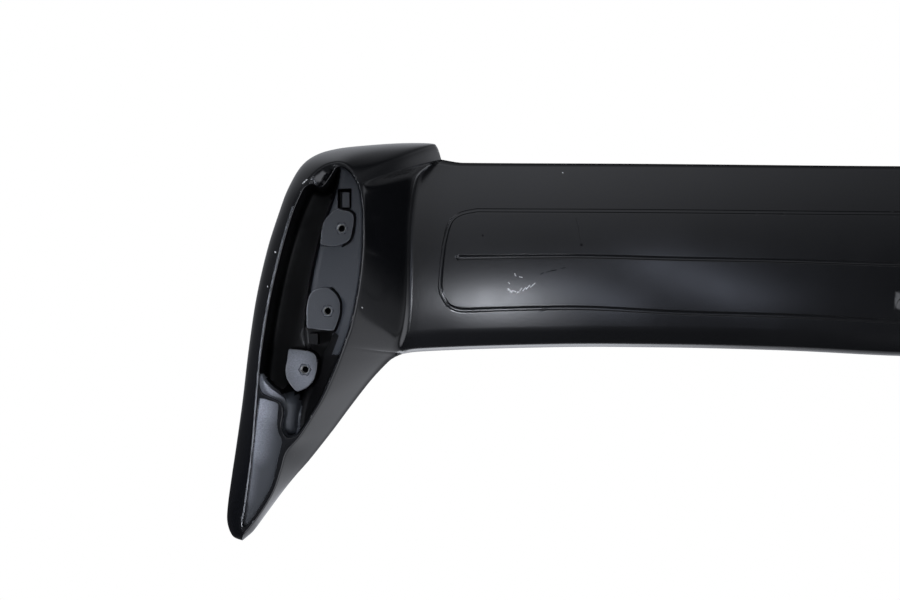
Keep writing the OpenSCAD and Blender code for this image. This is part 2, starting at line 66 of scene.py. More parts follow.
# Leg rows: outer rim, outer foot, inner rim, inner foot, crown; rims are distance in, forward, height share
LEG_ROWS = [
    [[13, 164.4, 0.13], [15, 158], [13, 164.4, 0.13], [15, 158], 0],
    [[5, 161, 0.14], [13, 153], [17.2, 161, 0.15], [18.6, 154.5], 5],
    [[0.3, 151, 0.17], [13.2, 146], [21.8, 156.7, 0.18], [21.8, 150.5], 8],
    [[0, 138, 0.2], [15.2, 136], [30, 145.5, 0.25], [29.8, 140], 12],
    [[2.3, 114, 0.28], [18.6, 111], [43.4, 127.2, 0.37], [39.8, 123], 18],
    [[5.2, 89, 0.36], [21.6, 86], [53.5, 114.7, 0.43], [45.6, 106], 23],
    [[9.1, 53, 0.47], [24.4, 50], [64.5, 102.2, 0.5], [50, 92], 28],
    [[13.2, 10, 0.57], [28.2, 8], [82.7, 79, 0.62], [60.6, 79.6], 31],
    [[19, -32, 0.62], [34.8, -32], [96.4, 60.4, 0.71], [71, 63.4], 30],
    [[27.7, -72, 0.66], [43.6, -70], [113.4, 38.4, 0.82], [80.7, 46.6], 28],
    [[37.3, -103, 0.69], [52.2, -99.5], [127.5, 23.4, 0.895], [89.8, 26], 26],
    [[44.3, -122.6, 0.72], [59.5, -117], [132.6, 19.6, 0.92], [93.6, 16], 25],
    [[54.7, -142, 0.78], [69, -129], [135.2, 18.3, 0.93], [95.3, 11.5], 23],
    [[67.4, -152.4, 0.83], [79.5, -137.5], [136.5, 17.7, 0.934], [95.7, 10.4], 21],
    [[85.2, -158.2, 0.88], [89.5, -140.5], [137.4, 17.3, 0.937], [95.9, 9.8], 20],
    [[108, -161.4, 0.91], [96.5, -139.5], [138, 17.1, 0.939], [96.1, 9.3], 18],
    [[138, -164, 0.94], [101.5, -135.5], [138.5, 16.9, 0.941], [96.3, 8.9], 17],
    [[163.5, -164.2, 0.97], [104.5, -131.5], [138.9, 16.8, 0.942], [96.4, 8.5], 16],
    [[169.3, -161.3, 0.98], [106.8, -127.5], [139.3, 16.6, 0.943], [96.5, 8.1], 15],
    [[173, -150.6, 1], [108.4, -123.5], [139.6, 16.5, 0.944], [96.6, 7.8], 14],
]
FOLD = [
    [0, 173], [0.03, 162], [0.08, 155], [0.22, 150], [0.4, 147.3],
    [0.6, 147], [0.75, 146.5], [0.88, 144.5], [0.95, 141.4], [1, 139.6],
]
CREASE = [
    [108.4, -123.5], [110.6, -116], [111.8, -107], [112.3, -96], [112.3, -80],
    [110.9, -59], [108.3, -37.5], [103, -11.5], [98.5, 2.5], [96.6, 7.8],
]
TAIL_LINE = [[0, -150.6], [0.04, -147.8], [0.35, -147], [0.8, -145], [1, -144.5]]
NOSE_LINE = [
    [0, 16.5], [0.01, 15.5], [0.022, 14.7], [0.048, 13.9], [0.087, 13], [0.125, 12.3], [0.18, 11.5],
    [0.27, 10.5], [0.33, 10], [0.4, 9.5], [0.5, 8.5], [0.67, 7.5], [0.84, 8.5], [1, 8.5],
]
POCKET = [
    [90.1, -136.8], [95, -136.8], [101.4, -132.2], [107, -123.6], [109.5, -114.3],
    [111, -100], [111.2, -82], [109.8, -59], [107.1, -37.8], [101.8, -11.8], [95.2, 8],
    [88.4, 25], [78.3, 47.5], [71.3, 60.2], [66.5, 68.5], [62.4, 74.4], [57.8, 79.2], [51.8, 81.3],
    [48.6, 79.9], [46, 75.8], [44.7, 69.6], [46.1, 60.6], [44.6, 53.4], [38.8, 49.8], [33.4, 47.4],
    [29.2, 44.4], [27, 38], [27.2, 28], [29.6, 8], [36, -31], [45, -69], [53.5, -98], [60.6, -114.8],
    [64, -120.6], [70.2, -123.2], [75.9, -120.8], [79.5, -122.5], [84, -128.5], [88, -135],
]
# The sloped platform: distance forward, left edge, level there, right edge
PLATFORM = [
    [-140, 93, 6, 98], [-127, 91.6, 9, 106], [-111, 87, 13, 111.5], [-90, 79, 18, 112.5],
    [-70, 73.8, 21, 111.5], [-42, 68, 22, 108.8], [-6, 64, 22, 101.5], [20, 66, 20, 91.2],
    [40, 66, 16, 82.6], [52, 62, 13, 76.4], [70, 59, 10, 66], [84, 58, 7, 56],
]
TIP_RECESS = [
    [27.4, 50.4], [28.6, 48.6], [31.6, 49], [37.5, 50.8], [42.2, 52.6], [43.2, 55], [42.7, 61.6],
    [42.4, 70.2], [43.5, 76.6], [45.5, 80.6], [46.2, 84.4], [44.9, 90.5], [43, 98], [39.6, 113.5],
    [36.2, 122.4], [31, 131.6], [24, 142.8], [17.4, 151], [15.2, 151.4], [14.8, 147.5],
    [16.6, 135.8], [20, 111], [22.9, 86.2], [25.2, 66],
]
LEDGE = [[29.4, 29.5], [31.9, 36.1], [36.8, 41], [43, 45.3], [47.8, 48.8], [50, 58], [20, 58], [20, 29]]
MOUND_LINE, MOUND_RADIUS = [[50.5, 55], [49.6, 72]], 10.5
# Each pad: level, insert's centre and outline
PADS = [
    ["rear", 9.0, [93.1, -87.5], [
        [92.3, -102.5], [89.9, -103.2], [84, -99.5], [79.5, -94.5], [77.4, -89], [76.2, -80],
        [76, -75.8], [77.4, -73.9], [82, -73.4], [87.5, -73.4], [91, -74], [94.6, -75],
        [97.6, -76.6], [100.4, -79.8], [101.8, -85], [102.8, -91], [103, -95.9], [102.4, -98.6],
        [100.2, -100.6], [96, -101.8]]],
    ["middle", 12.0, [81.6, -20.9], [
        [64.9, -7.4], [64.4, -14], [64.5, -22], [65.4, -29.5], [67.4, -34.6], [70.4, -37.6],
        [75.5, -39.5], [81, -39.9], [85.6, -37.4], [88.9, -33.8], [91.2, -29], [91.8, -24],
        [91.4, -18.5], [89.9, -13], [87.8, -7.4], [86.2, -5.3], [83, -5.2], [76, -5.8], [69, -6.6]]],
    ["front", 6.0, [63.7, 26.2], [
        [50.9, 9.9], [49.6, 18], [48.6, 24], [48.2, 28], [49.2, 33.2], [52.5, 38.9],
        [55.4, 42.4], [57.2, 43.8], [60, 43.3], [64.2, 41.4], [68.2, 38.2], [70.9, 34.6],
        [72.8, 29], [73.7, 22], [73.1, 16.6], [70.8, 13.2], [66.5, 11.2], [60, 10.2], [54, 9.7]]],
]
SLOT = [[89.9, -119.4], [101.2, -119.4], [101.2, -103.6], [89.9, -103.6]]
SLOT_BLOCK = [[93.2, -117], [99.2, -117], [99.2, -104.4], [93.2, -104.4]]
DEEP_RECESS = [[58, -8], [87, -8], [84, 4], [74, 20], [46, 18], [47, 9], [52, 2]]
TAB = [[66, -2.6], [73.2, -2.6], [73.2, 6.4], [66, 6.4]]
PANEL_END = [
    [202, 0], [188, 0.037], [179.6, 0.116], [174.7, 0.293], [172.4, 0.48], [170.6, 0.7],
    [171, 0.803], [173.5, 0.871], [178, 0.945], [185.6, 0.99], [194, 1],
]


def hermite(a, b, ta, tb, t):
    return (
        (2 * t**3 - 3 * t**2 + 1) * a + (t**3 - 2 * t**2 + t) * ta
        + (3 * t**2 - 2 * t**3) * b + (t**3 - t**2) * tb
    )


def smooth_line(points, steps, closed=False):
    """A smooth line through points, with so many steps between two of them."""
    p = np.array(points, float)
    n = len(p)
    t = (np.arange(steps) / steps)[:, None]
    parts = []
    for i in range(n if closed else n - 1):
        a, b = p[i], p[(i + 1) % n]
        before = p[i - 1] if closed else p[max(i - 1, 0)]
        after = p[(i + 2) % n] if closed else p[min(i + 2, n - 1)]
        parts.append(hermite(a, b, (b - before) / 2, (after - a) / 2, t))
    if not closed:
        parts.append(p[-1:])
    return np.concatenate(parts)


def smooth_lookup(x, table, column=1):
    """A table's value between its rows, without corners and without overshoot."""
    rows = np.array(table, float)
    xs, ys = rows[:, 0], rows[:, column]
    slope = np.diff(ys) / np.diff(xs)
    m = np.empty(len(xs))
    m[0], m[-1] = slope[0], slope[-1]
    both = slope[:-1] * slope[1:]
    m[1:-1] = np.where(both > 0, 2 * both / np.where(both > 0, slope[:-1] + slope[1:], 1), 0)
    x = np.clip(x, xs[0], xs[-1])
    i = np.clip(np.searchsorted(xs, x, side="right") - 1, 0, len(xs) - 2)
    h = xs[i + 1] - xs[i]
    return hermite(ys[i], ys[i + 1], m[i] * h, m[i + 1] * h, (x - xs[i]) / h)


def mix(a, b, t):
    return a + (b - a) * t


def ease(q):
    q = np.clip(q, 0, 1)
    return q * q * (3 - 2 * q)


def cosine_shares(n):
    return (1 - np.cos(np.pi * np.arange(n + 1) / n)) / 2


# The wing's section: an edge line from tail to nose, and half the thickness on each side of it
ROOT_CHORD = LEG_ROWS[-1][2][1] - LEG_ROWS[-1][0][1]
NOSE_SHARE = 1 - NOSE_LENGTH / ROOT_CHORD
TAIL_SHARE = 0.012


def wing_half(t):
    tail = np.where(t >= TAIL_SHARE, 1, np.sqrt(np.maximum(0, 1 - (1 - t / TAIL_SHARE) ** 2)))
    swell = 1 - (1 - np.minimum(t / NOSE_SHARE, 1)) ** 2
    nose = np.sqrt(np.maximum(0, 1 - (np.maximum(t - NOSE_SHARE, 0) / (1 - NOSE_SHARE)) ** 2))
    return (TAIL_THICKNESS / 2 * tail + (THICKNESS - TAIL_THICKNESS) / 2 * swell) * nose


def edge_line(t):
    return EDGE_HEIGHT - NOSE_DROP * t


def tail_y(s):
    return smooth_lookup(s, TAIL_LINE)


def nose_y(s):
    return smooth_lookup(s, NOSE_LINE) + MIDDLE_BOW * ease((s - 0.25) / 0.75)


TAIL_ROOT, NOSE_ROOT, FOLD_FADE = REACH - FOLD[0][1], REACH - FOLD[-1][1], 0.12

# The wing's half in plan as a plain rectangle, which its shares are measured out on
PLAN_LENGTH, PLAN_DEPTH, SEARCH_LENGTH, SEARCH_ROUNDS = 505.0, 165.0, 700.0, 40


def rib_x(s, t):
    bend = np.where(s >= FOLD_FADE, 0, (1 - s / FOLD_FADE) ** 2)
    straight = mix(TAIL_ROOT, NOSE_ROOT, t)
    return (1 - s) * straight + bend * (REACH - smooth_lookup(t, FOLD) - straight)


def rib_y(s, t):
    return mix(tail_y(s), nose_y(s), t)


def wing_point(s, t, side):
    """A point on the wing: share s from leg to middle, share t from tail to nose, side -1 under or 1 over."""
    s, t = np.broadcast_arrays(np.asarray(s, float), np.asarray(t, float))
    return np.stack([rib_x(s, t), rib_y(s, t), edge_line(t) + side * wing_half(t)], -1)


def wing_share(x, y):
    """The shares s and t of a place in plan, drawn nearer round by round."""
    s = 1 - x / PLAN_LENGTH
    for _ in range(SEARCH_ROUNDS):
        t = (y - tail_y(s)) / (nose_y(s) - tail_y(s))
        s = np.clip(s + (rib_x(s, t) - x) / SEARCH_LENGTH, 0, 1)
    return s, t


ROW_STEPS, WALL_RINGS, FOLD_COLUMNS, TOP_COLUMNS, STATIONS = 8, 22, 60, 36, 52
FOOT_LIFT, CORNER_FOLD, OUTER_ROUND, INNER_ROUND = 0.55, 0.3, 1.8, 1.25
CROWN_SHARE, CROWN_POWER = 0.9965, 2.4
leg = [smooth_line([row[i] if i < 4 else [row[i]] for row in LEG_ROWS], ROW_STEPS) for i in range(5)]
leg[2][-1, 2] = (EDGE_HEIGHT - NOSE_DROP) / EDGE_HEIGHT
LAST = len(leg[0]) - 1
stations = (np.arange(STATIONS + 1) / STATIONS) ** 1.4


def rim_mm(p):
    return np.stack([REACH - p[:, 0], p[:, 1], p[:, 2] * EDGE_HEIGHT], -1)


def wall_columns():
    """The leg's wall as a loop of columns: foot, rim, how round it is, how much it ends as the fold does."""
    share = np.arange(LAST + 1) / LAST
    outer = [leg[1], rim_mm(leg[0]), np.full(LAST + 1, OUTER_ROUND), CORNER_FOLD * ease((share - 0.7) / 0.3)]
    inner = [leg[3], rim_mm(leg[2]), np.full(LAST + 1, INNER_ROUND), ease(share / 0.6)]
    q = np.arange(FOLD_COLUMNS + 1) / FOLD_COLUMNS
    crease = smooth_line(CREASE, 40)
    at = q**1.25 * (len(crease) - 1)
    crease = np.stack([np.interp(at, np.arange(len(crease)), crease[:, i]) for i in (0, 1)], -1)
    fold = [crease, wing_point(0.0, cosine_shares(FOLD_COLUMNS), -1), np.full(FOLD_COLUMNS + 1, OUTER_ROUND),
            mix(CORNER_FOLD, 1, ease(q / 0.16))]
    return [np.concatenate([a, f[1:-1], b[::-1][:-1]]) for a, f, b in zip(outer, fold, inner)]


def wall_points():
    """The wall's rings from foot to rim; the inner wall is out at its rim 5 percent early."""
    foot, rim, power, fold = wall_columns()
    w = ((np.arange(WALL_RINGS + 1) / WALL_RINGS) ** 1.15)[:, None]
    upright = 1 - 0.05 * ease((np.arange(len(fold)) - LAST - FOLD_COLUMNS) / 70)
    straight = 0.8
    steep = 2 / (1 + straight)
    e = w - straight
    rise = np.where(w <= straight, steep * w, steep * (straight + e - e**2 / (2 * (1 - straight))))
    reach = np.minimum(w / upright, 1)
    out = mix(1 - (1 - reach) ** power, reach, fold)
    up = mix(w, rise, fold)
    x = mix(REACH - foot[:, 0], rim[:, 0], out)
    y = mix(foot[:, 1], rim[:, 1], out)
    z = rim[:, 2] * up + FOOT_LIFT * (1 - w) ** 12
    return np.stack([x, y, z], -1)


def leg_top_points():
    t = cosine_shares(TOP_COLUMNS)[None, :, None]
    share = (np.arange(LAST + 1) / LAST)[:, None]
    outer, inner = rim_mm(leg[0])[:, None], rim_mm(leg[2])[:, None]
    plan = mix(outer, inner, t)
    t = t[..., 0]
    crown = CROWN_SHARE * leg[4] * (1 - np.abs(2 * t - 1) ** CROWN_POWER) ** (1 / CROWN_POWER)
    plan[..., 2] += mix(crown, wing_half(t), ease((share - 0.68) / 0.32))
    root = wing_point(0.0, t, 1)
    bend = ease((share - 0.72) / 0.28)[..., None]
    straight = mix(outer[-1:], inner[-1:], t[..., None])
    plan[..., :2] += bend * (root - straight)[..., :2]
    plan[..., 2] += bend[..., 0] * (edge_line(t) - straight[..., 2])
    return plan


def distance_to(line, points, closed=True):
    """Distance of each point to a line in plan; inside a closed line it is negative."""
    a = np.asarray(line, float)
    b = np.roll(a, -1, 0)
    if not closed:
        a, b = a[:-1], a[1:]
    best = np.full(len(points), 1e9)
    inside = np.zeros(len(points), bool)
    for p, q in zip(a, b):
        d = q - p
        r = points - p
        f = np.clip((r @ d) / max(d @ d, 1e-12), 0, 1)
        best = np.minimum(best, np.hypot(*(r - f[:, None] * d).T))
        if closed:
            crosses = (p[1] > points[:, 1]) != (q[1] > points[:, 1])
            at = p[0] + (points[:, 1] - p[1]) / np.where(crosses, d[1], 1) * d[0]
            inside ^= crosses & (points[:, 0] < at)
    return np.where(inside, -best, best) if closed else best


def even_spacing(line, gap, closed=True):
    """The same line with its points at even distances."""
    p = np.asarray(line, float)
    if closed:
        p = np.vstack([p, p[:1]])
    run = np.concatenate([[0], np.cumsum(np.hypot(*np.diff(p, axis=0).T))])
    n = max(3, int(round(run[-1] / gap)))
    at = np.linspace(0, run[-1], n + 1)
    out = np.stack([np.interp(at, run, p[:, i]) for i in (0, 1)], -1)
    return out[:-1] if closed else out


def line_sides(p, closed=True):
    """Each point's direction to the line's right."""
    d = np.roll(p, -1, 0) - np.roll(p, 1, 0)
    if not closed:
        d[0], d[-1] = p[1] - p[0], p[-1] - p[-2]
    d /= np.maximum(np.hypot(*d.T), 1e-9)[:, None]
    return np.stack([d[:, 1], -d[:, 0]], -1)


def rings_along(line, offsets, gap, closed=True):
    """Rows of points beside a line; where a row would cross itself its points are left out."""
    base = even_spacing(line, gap, closed)
    side = line_sides(base, closed)
    area = np.sum(base[:, 0] * np.roll(base[:, 1], -1) - base[:, 1] * np.roll(base[:, 0], -1))
    if closed and area <= 0:
        side = -side
    rows = []
    for o in offsets:
        row = base + side * o
        far = distance_to(line, row, closed)
        rows.append(row[np.abs(far - (o if closed else abs(o))) < 0.12])
    return np.concatenate(rows)


def round_corners(polygon, radius):
    """A polygon with its corners rounded."""
    p = np.array(polygon, float)
    out = []
    for i in range(len(p)):
        a, b, c = p[i - 1], p[i], p[(i + 1) % len(p)]
        u, v = (a - b) / np.hypot(*(a - b)), (c - b) / np.hypot(*(c - b))
        s, e = b + u * radius, b + v * radius
        for t in np.linspace(0, 1, 6):
            out.append((1 - t) ** 2 * s + 2 * t * (1 - t) * b + t**2 * e)
    return np.array(out)


def lobed_outline(centre, radius, wave=0.5):
    """The six-lobed outline of an insert's collar."""
    turns = np.arange(COLLAR_STEPS) * math.pi / (COLLAR_STEPS / 2)
    r = radius + wave * np.cos(6 * turns)
    return np.stack([centre[0] + r * np.cos(turns), centre[1] + r * np.sin(turns)], -1)


pocket_line = smooth_line(POCKET, 5, True)
tip_line = smooth_line(TIP_RECESS, 4, True)
ledge_line = round_corners(LEDGE, 2.0)
slot_line = round_corners(SLOT, 1.0)
block_line = round_corners(SLOT_BLOCK, 0.6)
deep_line = round_corners(DEEP_RECESS, 2.5)
tab_line = round_corners(TAB, 0.8)
pad_lines = [even_spacing(smooth_line(pad[3], 4, True), 1.0) for pad in PADS]
hole_lines = [lobed_outline(pad[2], COLLAR_RADIUS + COLLAR_GAP) for pad in PADS]
shoulder_y = np.linspace(-140, 84, 120)
shoulder_line = np.stack([smooth_lookup(shoulder_y, PLATFORM), shoulder_y], -1)

# The pocket's wall: a rounded lip, a drafted wall and a fillet to its roof
WALL_IN = [0, 0.3, 0.6, 0.85, 1.05, 2.0, 2.9, 3.4, 4.2, 5.4, 7.0]
WALL_UP = [0, 0.06, 0.28, 0.75, 1.6, 18.0, 32.0, 34.4, 36.4, 37.6, POCKET_DEPTH]
SHOULDER_OUT = [-5.0, -4.2, -3.2, -2.0, -0.6, 1.2, 4.0]
SHOULDER_DROP = [40, 24, 8.5, 3.4, 0.9, -0.5, -1.6]

# Where the pocket's rounded lip ends, where its wall is clear of it, and more small forms of the foot
LIP, CLEAR_OF_LIP, PLATFORM_START = 0.85, 1.25, 4
PAD_RIM, PAD_CLEARANCE, PAD_GAP_DEPTH, HOLE_SPARE = 0.7, 2.2, 6, 6
TIP_LIP, EDGE_WEAR, EDGE_ROUND = 0.7, 1.4, 1.3
DIP_PLACE, DIP_RADIUS, DIP_DEPTH = (82, -127), 19, 4.5

# The body's finishes, by their place among its materials; the third is a darker, duller black used as painted
# shade in hollows, the fourth a grey rubbed paint that is partly wear and partly a painted highlight
PAINTED, GRAINED, SHADE_BLACK, RUBBED_AND_HIGHLIGHT = 0, 1, 2, 3


def foot_surface(p, foot_edge):
    """Height of the foot's underside above the seat, and its finish, for places in plan."""
    x, y = p[:, 0], p[:, 1]

    # The pocket's wall and roof, past the lip in a darker, duller black as painted shade
    inside = -distance_to(pocket_line, p)
    z = np.interp(inside, WALL_IN, WALL_UP)
    finish = np.where(inside > LIP, SHADE_BLACK, PAINTED)

    # The sloped platform with its shoulder, the front lobe's lower roof and the bulge in it
    left, level, right = (smooth_lookup(y, PLATFORM, i) for i in (1, 2, 3))
    u = x - left
    along = (u - PLATFORM_START) / np.maximum(right - left - PLATFORM_START, 1)
    slope = mix(level - 1.6, 0.8, np.clip(along, 0, 1))
    platform = np.where(u > PLATFORM_START, slope, level + np.interp(u, SHOULDER_OUT, SHOULDER_DROP))
    shelf = (u > 0) & ((y < -2) | ((y < 14) & (x > right - 9)))
    finish = np.where((platform < z) & shelf, GRAINED, finish)
    z = np.minimum(z, platform)
    z = np.minimum(z, mix(POCKET_DEPTH, LOBE_FLOOR, ease((y - 44) / 15)))
    bulge = distance_to(MOUND_LINE, p, False) / MOUND_RADIUS
    z = np.minimum(z, LEDGE_LEVEL + 10 * bulge**2 + 3 * bulge**6)
    finish = np.where((bulge < 0.95) & (inside > CLEAR_OF_LIP), GRAINED, finish)

    # The ledge, the deep recess and slot, and what stands in them; the recess, the slot and the tab are in a
    # darker, duller black as painted shade
    share = ease((distance_to(ledge_line, p) + 0.4) / 0.9)
    finish = np.where((share < 0.5) & (inside > CLEAR_OF_LIP), GRAINED, finish)
    z = mix(np.minimum(z, LEDGE_LEVEL), z, share)
    for line, floor in ((deep_line, DEEP_RECESS_LEVEL), (slot_line, SLOT_FLOOR)):
        share = ease((distance_to(line, p) + 0.4) / 0.5)
        z = mix(np.maximum(z, floor), z, share)
        finish = np.where(share < 0.8, SHADE_BLACK, finish)
    for line, level, top in ((tab_line, TAB_LEVEL, SHADE_BLACK), (block_line, SLOT_BLOCK_LEVEL, GRAINED)):
        far = distance_to(line, p)
        z = mix(level, z, ease((far + 0.1) / 0.4))
        finish = np.where(far < 0, top, finish)

    # The pads, each with a sunk gap round it in a darker black as painted shade, a rounded rim in grey rubbed
    # paint that is partly wear and partly a painted highlight, and the insert's hole
    for (_, level, _, _), line, hole in zip(PADS, pad_lines, hole_lines):
        far = distance_to(line, p)
        sunk = (z < level + 1.5) & (inside > 1.4) & (far > 0) & (far < PAD_CLEARANCE)
        z = np.where(sunk, mix(level + PAD_GAP_DEPTH, z, ease((far - PAD_CLEARANCE + 0.5) / 0.5)), z)
        finish = np.where(sunk, SHADE_BLACK, finish)
        rim = 0.35 * np.clip((far + PAD_RIM) / PAD_RIM, 0, 1) ** 2
        z = mix(level + rim, z, np.clip(far / 0.35, 0, 1))
        finish = np.where(far < 0, np.where(far < -PAD_RIM - 0.02, GRAINED, RUBBED_AND_HIGHLIGHT), finish)
        far = distance_to(hole, p)
        z = mix(level + INSERT_LENGTH + HOLE_SPARE, z, ease((far + 0.1) / 0.1))
        finish = np.where(far < 0, SHADE_BLACK, finish)

    # The tip's recess, with a curved floor
    tip = -distance_to(tip_line, p)
    across = np.clip((x - mix(25, 16, np.clip((y - 50) / 90, 0, 1))) / 20, 0, 1.3)
    depth = TIP_RECESS_DEPTH + 1.7 * across**2 + 1.6 * np.clip((y - 60) / 90, 0, 1) ** 2
    z = np.maximum(z, depth * ease(tip / TIP_LIP))
    finish = np.where(tip > 0.5, GRAINED, finish)

    # The foot's rounded edge in grey rubbed paint, partly wear and partly a painted highlight, and the soft
    # dip in the land at the pocket's rear end
    edge = -distance_to(foot_edge, p)
    worn_and_highlit_edge = (edge < EDGE_WEAR) & (finish == PAINTED) & (x < 47 - 0.16 * y) & (y > -105) & (y < 148)
    finish = np.where(worn_and_highlit_edge, RUBBED_AND_HIGHLIGHT, finish)
    rear = ease(1 - np.hypot(x - DIP_PLACE[0], y - DIP_PLACE[1]) / DIP_RADIUS)
    z = np.where(inside < 0, z + DIP_DEPTH * rear * ease((edge - 0.5) / 9), z)
    lift = FOOT_LIFT * np.clip(1 - edge / EDGE_ROUND, 0, 1) ** 2
    return z + lift, finish


def thin_out(points, keep, gap):
    """Leaves out points that lie nearer than the gap to one that is kept already."""
    cells = {}
    kept = []

    def cell(p):
        return int(p[0] // gap), int(p[1] // gap)

    def near(p):
        cx, cy = cell(p)
        for i in (-1, 0, 1):
            for j in (-1, 0, 1):
                for q in cells.get((cx + i, cy + j), ()):
                    if (p[0] - q[0]) ** 2 + (p[1] - q[1]) ** 2 < gap * gap:
                        return True
        return False

    for p in keep:
        cells.setdefault(cell(p), []).append(p)
    for p in points:
        if not near(p):
            cells.setdefault(cell(p), []).append(p)
            kept.append(p)
    return np.array(kept)


def weave(edge, inner):
    """Triangles over the area inside an edge line, through the points in it."""
    points = [Vector(p) for p in np.concatenate([edge, inner])]
    verts, _, faces, _, _, _ = delaunay_2d_cdt(points, [], [list(range(len(edge)))], 1, 1e-5)
    return np.array([v[:] for v in verts]), [list(f) for f in faces]


def fill_plan(edge, rings, gap):
    """Triangles over the area inside an edge line, through the rings' points and a grid between them."""
    rings = rings[distance_to(edge, rings) < -0.15]
    rings = thin_out(rings, list(edge), 0.17)
    low, high = edge.min(0), edge.max(0)
    xs = np.arange(low[0], high[0], gap)
    ys = np.arange(low[1], high[1], gap * 0.866)
    grid = np.array([[x + (gap / 2 if j % 2 else 0), y] for j, y in enumerate(ys) for x in xs])
    grid = grid[distance_to(edge, grid) < -gap / 2]
    grid = thin_out(grid, list(rings) + list(edge), gap * 0.62)
    return weave(edge, np.concatenate([rings, grid]))


def foot_patch():
    """The foot's underside with its pocket and tip recess, inside the wall's lowest ring."""
    foot = wall_columns()[0]
    rings = [rings_along(foot, (-0.35, -0.8, -1.4), 1.3)]
    for line in hole_lines:
        rings.append(rings_along(line, (0.02, -0.12), 0.6))
        rings.append(rings_along(line, (0.7,), 1.6))
    for line in pad_lines:
        rings.append(rings_along(line, (-0.75, -0.35, -0.02, 0.36, 1.68, 2.22), 1.3))
    for line in (tab_line, block_line):
        rings.append(rings_along(line, (-0.5, -0.1, 0.32), 1.0))
    rings.append(rings_along(slot_line, (-0.8, -0.4, 0.12, 0.6), 1.2))
    rings.append(rings_along(pocket_line, [-d for d in WALL_IN], 1.2))
    rings.append(rings_along(tip_line, (0.0, -0.35, -0.72, -1.4), 1.1))
    rings.append(rings_along(ledge_line, (-0.8, -0.4, 0.05, 0.5, 1.0), 0.9))
    rings.append(rings_along(deep_line, (-0.8, -0.4, 0.12, 0.6), 1.4))
    rings.append(rings_along(shoulder_line, (4.6, 3.7, 2.6, 1.2, 0.0, -1.6, -4.0), 2.0, False))
    rings.append(rings_along(MOUND_LINE, (-10, -8, -6, -3, 0, 3, 6, 8, 10), 1.8, False))
    plan, faces = fill_plan(foot, np.concatenate(rings), 3.2)
    z, _ = foot_surface(plan, foot)
    return np.stack([REACH - plan[:, 0], plan[:, 1], z], -1), faces


# Rows beside an engraved line's edge and how deep it is there, rows beside the middle recess's edge
GROOVE_SIDE = (2.6, 1.3, 0.42, 0.0, -0.36, -0.52, -1.0)
GROOVE_STEPS, GROOVE_DEPTHS = [-0.52, -0.36, 0.0], [PANEL_DEPTH, 0.28, 0.0]
RECESS_SIDE = (-1.6, -0.9, -0.4, 0.1, 0.8)
LINE_STEPS, LINE_START, PLAIN_ROWS = 60, -5.0, 40
# How far the lines' outer ends lie further back, from where along the wing and over what length
PANEL_SHIFT, MIDDLE_SHIFT, SHIFT_START, SHIFT_RUN = 4.2, 1.8, 250, 130


def groove_rows(width):
    """Distances from a groove's centre line: beyond its edge, the edge, its bevel, its wall and the floor."""
    side = [width / 2 + d for d in GROOVE_SIDE]
    return [-d for d in side] + [0] + side[::-1]


def panel_lines():
    """The panel line's centre and the middle line's outline, in plan."""

    def shift(x):
        return ease((x - SHIFT_START) / SHIFT_RUN)

    def rear_y(x):
        return tail_y(wing_share(x, np.full_like(x, -100.0))[0]) + PANEL_REAR + PANEL_WIDTH / 2

    def front_y(x):
        line = nose_y(wing_share(x, np.full_like(x, -20.0))[0]) - PANEL_FRONT - PANEL_WIDTH / 2
        return line - PANEL_SHIFT * shift(x)

    end = smooth_line(PANEL_END, 8)
    end_x = REACH - end[:, 0] - PANEL_WIDTH / 2
    rear_x = np.linspace(LINE_START, end_x[0], LINE_STEPS)[:-1]
    front_x = np.linspace(end_x[-1], LINE_START, LINE_STEPS)[1:]
    x = np.concatenate([rear_x, end_x, front_x])
    share = np.concatenate([np.zeros_like(rear_x), end[:, 1], np.ones_like(front_x)])
    panel = np.stack([x, mix(rear_y(x), front_y(x), share)], -1)
    x = np.linspace(LINE_START, REACH - MIDDLE_IN, LINE_STEPS)
    s = np.clip(1 - x / mix(TAIL_ROOT, NOSE_ROOT, MIDDLE_SHARE), 0, 1)
    y = mix(tail_y(s), nose_y(s), MIDDLE_SHARE) - MIDDLE_SHIFT * shift(x)
    half = mix(MIDDLE_WIDTH, MIDDLE_END_WIDTH, np.clip((x - x[-1] + 70) / 70, 0, 1) ** 2) / 2
    turns = np.linspace(0, np.pi, 9)[1:-1]
    end = np.stack([x[-1] + half[-1] * np.sin(turns), y[-1] - half[-1] * np.cos(turns)], -1)
    middle = np.concatenate([np.stack([x, y - half], -1), end, np.stack([x, y + half], -1)[::-1]])
    return panel, middle


